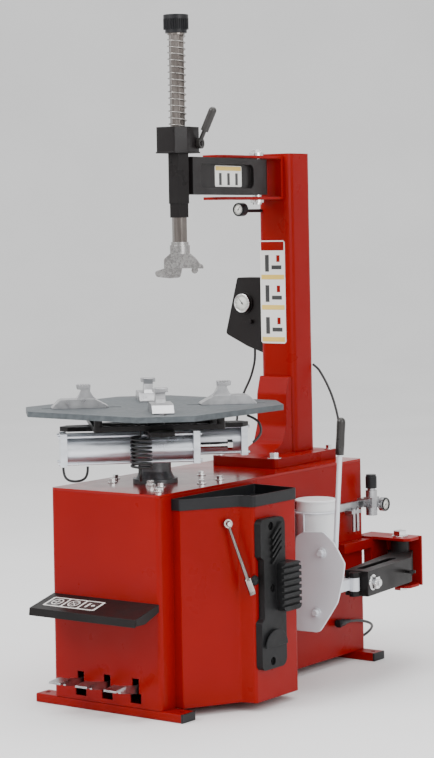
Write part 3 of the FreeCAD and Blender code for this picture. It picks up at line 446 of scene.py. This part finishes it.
# bars set round a circle, each pointing outwards
def ringTree():
    make = TreeMaker("barsRoundCircle")
    radius = make.value("Radius", 0.03)
    count = make.value("Count", 24, "NodeSocketInt")
    size = make.value("Bar Size", (0.002, 0.003, 0.03), "NodeSocketVector")
    material = make.value("Material", None, "NodeSocketMaterial")
    circle = make.add("GeometryNodeCurvePrimitiveCircle")
    make.link(radius, circle.inputs["Radius"])
    spots = make.add("GeometryNodeCurveToPoints", mode="COUNT")
    make.link(circle.outputs["Curve"], spots.inputs["Curve"])
    make.link(count, spots.inputs["Count"])
    bar = make.add("GeometryNodeMeshCube")
    make.link(size, bar.inputs["Size"])
    place = make.add("GeometryNodeInputPosition")
    aim = make.add("FunctionNodeAlignRotationToVector", axis="X")
    make.link(place.outputs["Position"], aim.inputs["Vector"])
    copies = make.add("GeometryNodeInstanceOnPoints")
    make.link(spots.outputs["Points"], copies.inputs["Points"])
    make.link(bar.outputs["Mesh"], copies.inputs["Instance"])
    make.link(aim.outputs["Rotation"], copies.inputs["Rotation"])
    return make.finish(copies.outputs["Instances"], material)


# bars set in a straight row along X, each leaning by the same angle
def rowTree():
    make = TreeMaker("barsInRow")
    count = make.value("Count", 6, "NodeSocketInt")
    step = make.value("Step", (0.01, 0, 0), "NodeSocketVector")
    size = make.value("Bar Size", (0.002, 0.003, 0.03), "NodeSocketVector")
    lean = make.value("Lean", (0, 0, 0), "NodeSocketVector")
    material = make.value("Material", None, "NodeSocketMaterial")
    line = make.add("GeometryNodeMeshLine")
    make.link(count, line.inputs["Count"])
    make.link(step, line.inputs["Offset"])
    bar = make.add("GeometryNodeMeshCube")
    make.link(size, bar.inputs["Size"])
    turn = make.add("FunctionNodeEulerToRotation")
    make.link(lean, turn.inputs["Euler"])
    copies = make.add("GeometryNodeInstanceOnPoints")
    make.link(line.outputs["Mesh"], copies.inputs["Points"])
    make.link(bar.outputs["Mesh"], copies.inputs["Instance"])
    make.link(turn.outputs["Rotation"], copies.inputs["Rotation"])
    return make.finish(copies.outputs["Instances"], material)


coilOfWire, barsRoundCircle, barsInRow = coilTree(), ringTree(), rowTree()


# runs a tree with the given inputs and returns its mesh, set in place
def grow(name, maker, inputs, mat, place):
    obj = bpy.data.objects.new(name, bpy.data.meshes.new(name))
    bpy.context.scene.collection.objects.link(obj)
    mod = obj.modifiers.new("grow", "NODES")
    mod.node_group = maker.tree
    for label, value in inputs.items():
        mod[maker.ids[label]] = value
    mod[maker.ids["Material"]] = mat
    obj.update_tag()
    graph = bpy.context.evaluated_depsgraph_get()
    mesh = bpy.data.meshes.new_from_object(obj.evaluated_get(graph))
    obj.modifiers.clear()
    mesh.transform(place)
    obj.data = mesh
    return obj


print("helpers and trees ready")

# spring above the arm
spring = {"radius": 0.024, "wire": 0.0015, "turns": 14.0}
springLow, springHigh = [Vector(corner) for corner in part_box("shaft_spring")]
springFoot = Vector((shaftMiddle.x, shaftMiddle.y, springLow.z + spring["wire"]))
springCoil = grow("springCoil", coilOfWire,
                  {"Radius": spring["radius"], "Turns": spring["turns"], "Wire": spring["wire"],
                                             "Rise": springHigh.z - springLow.z - 2 * spring["wire"]},
                  springWire, Matrix.Translation(springFoot))
finishPiece(springCoil, springWire, "swing_arm")
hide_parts("shaft_spring")
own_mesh(springCoil)
print("spring wound")

# mains lead, in mm: down the back, then two flat layers of coil, one wound in and one out
mains = {"radius": 0.004, "turnsLow": 3.25, "climb": 0.25, "turnsHigh": 3, "outer": 57, "inner": 31,
         "low": 4.3, "high": 12.4, "middleX": 60, "middleY": 1115, "steps": 16}
leadRun = [(383.5, 853, 124), (384, 905, 122), (386, 960, 112), (384, 1012, 94), (352, 1050, 66),
           (304, 1066, 36),
           (250, 1068, 12), (196, 1066, 4.3), (142, 1057, 4.3), (92, 1057, 4.3)]
climbEnd = mains["turnsLow"] + mains["climb"]
narrowing = mains["inner"] - mains["outer"]
for i in range(int((climbEnd + mains["turnsHigh"]) * mains["steps"]) + 1):
    turn = i / mains["steps"]
    if turn <= mains["turnsLow"]:
        part, lift = turn / mains["turnsLow"], mains["low"]
        radius = mains["outer"] + narrowing * part
    elif turn <= climbEnd:
        part = (turn - mains["turnsLow"]) / mains["climb"]
        radius, lift = mains["inner"], mains["low"] + (mains["high"] - mains["low"]) * part
    else:
        part, lift = (turn - climbEnd) / mains["turnsHigh"], mains["high"]
        radius = mains["inner"] - narrowing * part
    angle = -math.pi / 2 - 2 * math.pi * turn
    leadRun.append((mains["middleX"] + radius * math.cos(angle),
                    mains["middleY"] + radius * math.sin(angle), lift))
leadRun += [(92, 1171.5, 12.4), (122, 1168, 12.4), (157, 1157, 13)]
leadPoints = [at(*point) for point in leadRun]
mainsLead = tubeMesh("mainsLead", leadPoints, mains["radius"])
mainsLead.data.materials.append(hoseRubber)
leadLength = sum((b - a).length for a, b in zip(leadPoints, leadPoints[1:]))
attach(mainsLead, "base")
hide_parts("power_cable", "power_cable_coil")
print("mains lead", round(leadLength, 3), "m between its control points")

# strain relief: ten rings that narrow to the lead, in mm
relief = {"length": 34, "base": 7.4, "tip": 4.7, "rings": 10, "ringProud": 0.7}
bm = bmesh.new()
reliefProfile = [(0.0, -1.0)]
for i in range(relief["rings"]):
    part = i / (relief["rings"] - 1)
    proud = relief["ringProud"] if i % 2 else 0
    reliefProfile.append((relief["base"] - (relief["base"] - relief["tip"]) * part + proud,
                          relief["length"] * part))
reliefProfile.append((0.0, relief["length"] + 0.4))
addLathe(bm, [(r / 1000, z / 1000) for r, z in reliefProfile])
finishPiece(newPiece("strainRelief", bm, upFrom(at(383.5, 853, 124), (0, 1, -0.02))), blackPlastic,
            "base")

# two ties round the coil, each bar given by its inner and outer radius, bottom and top, in mm
tie = {"wide": 0.007, "angles": (-0.7, 2.4),
       "bars": ((27.2, 61.8, 16.5, 17.4), (60.9, 61.8, 0.4, 17.4), (26.2, 27.1, 0.4, 17.4))}
bm = bmesh.new()
for low, high, bottom, top in tie["bars"]:
    for angle in tie["angles"]:
        turned = Matrix.Rotation(angle, 4, "Z")
        spot = Vector(((low + high) / 2000, 0, (bottom + top) / 2000))
        middle = turned @ spot + at(mains["middleX"], mains["middleY"], 0)
        addBlock(bm, ((high - low) / 1000, tie["wide"], (top - bottom) / 1000), middle, turned)
finishPiece(newPiece("coilTie", bm), whitePlastic, "base", False, 0.0003)

# the table's hoses, in the table's own turned frame
curly = {"Radius": 0.027, "Wire": 0.0034, "Turns": 8.0, "Rise": 0.084}
hoseRadius = 0.0034
curlyTurn = Matrix.Rotation(tableTurn + math.pi / 2, 4, "Z")
curlyPlace = Matrix.Translation(inTable(-50, -160, 646)) @ curlyTurn
curlyHose = grow("curlyHose", coilOfWire, curly, hoseRubber, curlyPlace)
runs = [[(-50, -133, 729), (-50, -133, 748), (-53, -128, 765), (-60, -120, 781)],
        [(-50, -133, 647), (-50, -137, 634), (-50, -135, 620), (-50, -122, 608), (-50, -101, 608),
         (-50, -86, 623), (-50, -86, 648)],
        [(250, -58, 772), (276, -66, 762), (288, -74, 738), (282, -80, 714), (262, -84, 700)],
        [(-256, -86, 648), (-256, -86.5, 625), (-240, -88, 609), (-207, -88, 609), (-190, -86.5, 624),
         (-190, -84, 648)]]
tableHoses = joinTubes("tableHoses",
                       [tubeMesh("hose", [inTable(*point) for point in run], hoseRadius) for run in runs])
finishPiece(tableHoses, hoseRubber, "turntable")
finishPiece(curlyHose, hoseRubber, "turntable")
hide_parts("turntable_hoses")
print("lead and hoses laid")


# face, rim, scale marks and needle, all standing on the case's front
def makeDial(name, middle, facing, radius, body, needle=0.7, rim=chrome):
    place = upFrom(middle, facing)
    bm = bmesh.new()
    addLathe(bm, [(0, -0.001), (radius * 0.9, -0.001), (radius * 0.9, 0.0006), (0, 0.0009)], place)
    finishPiece(newPiece(name + "Face", bm), dialWhite, body)
    bm = bmesh.new()
    addLathe(bm, [(radius * 0.88, -0.001), (radius, -0.001), (radius * 1.02, 0.002),
                  (radius * 0.98, 0.0042), (radius * 0.9, 0.0038), (radius * 0.87, 0.0012),
                  (radius * 0.88, -0.001)], place)
    finishPiece(newPiece(name + "Rim", bm), rim, body)
    marks = grow(name + "Marks", barsRoundCircle, {"Radius": radius * 0.72, "Count": 25,
                                                   "Bar Size": (radius * 0.14, radius * 0.03, 0.0003)},
                 labelBlack, place @ Matrix.Translation((0, 0, 0.0011)))
    finishPiece(marks, labelBlack, body, False)
    bm = bmesh.new()
    hand = Matrix.Rotation(needle, 4, "Z")
    addPlate(bm, [(-radius * 0.05, -radius * 0.2), (radius * 0.05, -radius * 0.2),
                  (radius * 0.012, radius * 0.66), (-radius * 0.012, radius * 0.66)],
             0.0003, place @ Matrix.Translation((0, 0, 0.0015)) @ hand)
    addLathe(bm, [(0, 0.0012), (radius * 0.1, 0.0012), (radius * 0.1, 0.0022), (0, 0.0024)], place, 20)
    finishPiece(newPiece(name + "Needle", bm), labelBlack, body, False)


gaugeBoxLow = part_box("gauge_box")[0]
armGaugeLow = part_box("arm_gauge")[0]
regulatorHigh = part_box("air_regulator")[1]
boxFront, armFront, knobSide = at(36, 0, 1056), at(140, 0, 1338), at(0, 1028, 452)
makeDial("boxDial", (boxFront.x, gaugeBoxLow[1], boxFront.z), (0, -1, 0), 0.028, "base")
makeDial("armDial", (armFront.x, armGaugeLow[1], armFront.z), (0, -1, 0), 0.018, "base",
         -0.6, blackPlastic)
makeDial("regulatorDial", (regulatorHigh[0], knobSide.y, knobSide.z), (1, 0, 0), 0.019, "base",
         2.2, blackPlastic)
print("gauges made")

# ribs round the shaft's cap, and the slants and crown of the bead pad
capLow, capHigh = [Vector(corner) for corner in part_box("shaft_cap")]
capRibs = {"Radius": (capHigh.x - capLow.x) / 2 - 0.0006, "Count": 36,
           "Bar Size": (0.0022, 0.0026, 0.030)}
ribPlace = Matrix.Translation((shaftMiddle.x, shaftMiddle.y, (capLow.z + capHigh.z) / 2))
finishPiece(grow("capRibs", barsRoundCircle, capRibs, blackPlastic, ribPlace), blackPlastic, "shaft",
            False)

padLow, padHigh = [Vector(corner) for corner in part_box("bead_pad")]
padMiddle = at(0, 270, 0).y
padFace = padLow.x + 0.0245      # the pad's flat front, behind its ribs
leaning = grow("padSlants", barsInRow,
               {"Count": 5, "Step": (0, 0, -0.017), "Lean": (0.7, 0, 0),
                "Bar Size": (0.005, 0.062, 0.006)},
               rubber, Matrix.Translation((padFace, padMiddle + 0.012, padHigh.z - 0.034)))
finishPiece(leaning, rubber, "base", False, 0.0012)
bm = bmesh.new()
crown = [(0.05 * math.cos(math.pi * i / 14), 0.045 * math.sin(math.pi * i / 14)) for i in range(15)]
facingRight = Matrix(((0, 0, 1, 0), (1, 0, 0, 0), (0, 1, 0, 0), (0, 0, 0, 1)))
addPlate(bm, crown, 0.005, Matrix.Translation((padFace, padMiddle, padLow.z + 0.06)) @ facingRight)
finishPiece(newPiece("padCrown", bm), rubber, "base", False, 0.0015)
print("ribs set")


# a plain plate with clipped corners and no lettering
def makeLabel(name, place, size, mat, body, lift=0.0003):
    bm = bmesh.new()
    w, h = size[0] / 2, size[1] / 2
    r = min(w, h) * 0.12
    corner = [(w, -h + r), (w, h - r), (w - r, h), (-w + r, h), (-w, h - r), (-w, -h + r), (-w + r, -h),
              (w - r, -h)]
    addPlate(bm, corner, lift, place)
    return finishPiece(newPiece(name, bm), mat, body, False)


armLabel = {"along": 0.222, "out": 0.0202, "height": 1.432}
armSide = at(185, 735, 0) + Vector((math.sin(armLean), -math.cos(armLean), 0)) * armLabel["along"]
armOut = Vector((math.cos(armLean), math.sin(armLean), 0))
armSpot = armSide + armOut * armLabel["out"] + Vector((0, 0, armLabel["height"]))
armPlace = Matrix.Translation(armSpot) @ Matrix((
    (-math.sin(armLean), 0, armOut.x, 0), (math.cos(armLean), 0, armOut.y, 0),
    (0, 1, 0, 0), (0, 0, 0, 1)))
makeLabel("armPlate", armPlace, (0.165, 0.06), labelWhite, "swing_arm")
makeLabel("armStrip", armPlace @ Matrix.Translation((0, 0.022, 0.0003)), (0.157, 0.012), labelYellow,
          "swing_arm")
for i in range(3):
    markPlace = armPlace @ Matrix.Translation((-0.05 + 0.05 * i, -0.008, 0.0003))
    makeLabel("armMark%d" % i, markPlace, (0.016, 0.034), labelBlack, "swing_arm")
columnSpot = at(178, 818, 1092) - Vector((0, 0.0004, 0))
columnPlace = Matrix.Translation(columnSpot) @ Matrix.Rotation(math.pi / 2, 4, "X")
makeLabel("columnPlate", columnPlace, (0.09, 0.306), labelWhite, "base")
makeLabel("columnTop", columnPlace @ Matrix.Translation((0, 0.136, 0.0003)), (0.082, 0.026), red,
          "base")
for i, z in enumerate((0.085, -0.005, -0.1)):
    spot = columnPlace @ Matrix.Translation((0, z, 0.0003))
    makeLabel("columnMark%d" % i, spot @ Matrix.Translation((-0.02, 0, 0)), (0.014, 0.05), labelBlack,
              "base")
    makeLabel("columnBar%d" % i, spot @ Matrix.Translation((0.014, -0.012, 0)), (0.036, 0.012),
              labelBlack, "base")
    makeLabel("columnPost%d" % i, spot @ Matrix.Translation((0.02, 0.014, 0)), (0.012, 0.02), red,
              "base")
    makeLabel("columnBand%d" % i, columnPlace @ Matrix.Translation((0, z - 0.041, 0.0003)),
              (0.082, 0.014), labelYellow, "base")

# pictogram plate on the pedal cover, which slopes down to the front
slope = math.atan2(25, 100)
coverMiddle = at(118, -50, 291.5 + 0.35)
coverPlace = Matrix.Translation(coverMiddle) @ Matrix.Rotation(slope, 4, "X")
makeLabel("coverPlate", coverPlace, (0.178, 0.056), labelWhite, "base")
for i in range(3):
    cell = coverPlace @ Matrix.Translation((-0.057 + 0.057 * i, 0, 0.0003))
    makeLabel("coverCell%d" % i, cell, (0.05, 0.046), labelBlack, "base")
    bm = bmesh.new()
    lifted = cell @ Matrix.Translation((0, 0, 0.0004))
    if i < 2:
        addLathe(bm, [(0.0145, 0), (0.018, 0), (0.018, 0.0003), (0.0145, 0.0003), (0.0145, 0)], lifted,
                 32)
        for angle in (i * math.pi / 4, i * math.pi / 4 + math.pi / 2):
            addBlock(bm, (0.03, 0.0028, 0.0003), lifted @ Vector((0, 0, 0.00015)),
                     (lifted.to_3x3() @ Matrix.Rotation(angle, 3, "Z")).to_4x4())
    else:
        addBlock(bm, (0.008, 0.026, 0.0003), lifted @ Vector((-0.008, 0, 0.00015)),
                 lifted.to_3x3().to_4x4())
        addLathe(bm, [(0, 0), (0.0055, 0), (0.0055, 0.0003), (0, 0.0003)],
                 lifted @ Matrix.Translation((0.009, 0, 0)), 24)
    finishPiece(newPiece("coverSign%d" % i, bm), labelWhite, "base", False)

# grip, foot caps and the lever's rubber button
handleLean = Matrix.Rotation(math.radians(4.3), 4, "Y")
bm = bmesh.new()
gripShape = [(0.0066, 0), (0.0121, 0.002), (0.0124, 0.03), (0.0119, 0.06), (0.0124, 0.086),
             (0.0121, 0.0926), (0.0109, 0.0985), (0.0083, 0.1022), (0.0045, 0.1046), (0, 0.1052)]
addLathe(bm, [(0, 0)] + gripShape, Matrix.Translation(at(572.2, 560.1, 651)) @ handleLean, 36)
finishPiece(newPiece("handleGrip", bm), gripPlastic, "breaker_blade")
for name, y in (("footCapFront", 28), ("footCapRear", 961)):
    bm = bmesh.new()
    addBlock(bm, (0.0065, 0.0565, 0.0236), at(434.2, y, 12.0), Matrix())
    finishPiece(newPiece(name, bm), blackPlastic, "base", False, 0.0015)
bm = bmesh.new()
addLathe(bm, [(0, 0), (0.012, 0), (0.014, 0.004), (0.012, 0.009), (0.006, 0.011), (0, 0.011)],
         upFrom(at(525.2, 205, 352), (1, 0, 0)), 28)
finishPiece(newPiece("leverButton", bm), rubber, "base")
print("labels set")

# a wide round bowl, so that no side of the machine is hidden by a wall
bm = bmesh.new()
addLathe(bm, [(0, 0), (9.5, 0), (11.4, 0.25), (12.8, 1.0), (13.6, 2.4), (14, 4.6)], None, 96)
bmesh.ops.reverse_faces(bm, faces=bm.faces)
floorMat, tree, shader, coords = startMaterial("paleFloor")
tree.links.new(ramp(tree, noise(tree, coords, 1.2, 2), 0.3, 0.7, (0.82, 0.82, 0.82),
                    (0.86, 0.86, 0.86)), shader.inputs["Base Color"])
tree.links.new(spread(tree, noise(tree, coords, 3, 2), 0.7, 0.8), shader.inputs["Roughness"])
backdrop = newPiece("backdrop", bm)
for face in backdrop.data.polygons:
    face.use_smooth = True
backdrop.data.materials.append(floorMat)

lights = [("keyLight", (-1.2, -3.0, 3.6), 2.6, 150), ("fillLight", (3.8, -1.4, 2.2), 2.4, 80),
          ("topLight", (0.2, 0.4, 4.2), 3.0, 110)]
lookedAt = Vector((0, 0, 0.9))
for name, place, size, watts in lights:
    data = bpy.data.lights.new(name, "AREA")
    data.size, data.energy = size, watts
    lamp = bpy.data.objects.new(name, data)
    lamp.location = place
    lamp.rotation_euler = (lookedAt - Vector(place)).to_track_quat("-Z", "Y").to_euler()
    bpy.context.scene.collection.objects.link(lamp)
world = bpy.data.worlds.new("softRoom")
world.use_nodes = True
sky = world.node_tree.nodes["Background"]
sky.inputs["Color"].default_value = (1, 1, 1, 1)
sky.inputs["Strength"].default_value = 1.15
bpy.context.scene.world = world

view = {"place": (3875.6, -4486, 1305.9), "yaw": 0.634, "roll": -0.018, "lens": 103.3, "shift": -0.2086}
flatRight = Vector((math.cos(view["yaw"]), math.sin(view["yaw"]), 0))
forward = Vector((-math.sin(view["yaw"]), math.cos(view["yaw"]), 0))
right = math.cos(view["roll"]) * flatRight + math.sin(view["roll"]) * Vector((0, 0, 1))
up = -math.sin(view["roll"]) * flatRight + math.cos(view["roll"]) * Vector((0, 0, 1))
cameraData = bpy.data.cameras.new("studioCamera")
cameraData.lens = view["lens"]
cameraData.sensor_width = 36
cameraData.shift_y = view["shift"]
camera = bpy.data.objects.new("studioCamera", cameraData)
turned = Matrix((right, up, -forward)).transposed().to_4x4()
camera.matrix_world = Matrix.Translation(at(*view["place"])) @ turned
bpy.context.scene.collection.objects.link(camera)
bpy.context.scene.camera = camera
print("room and camera ready")
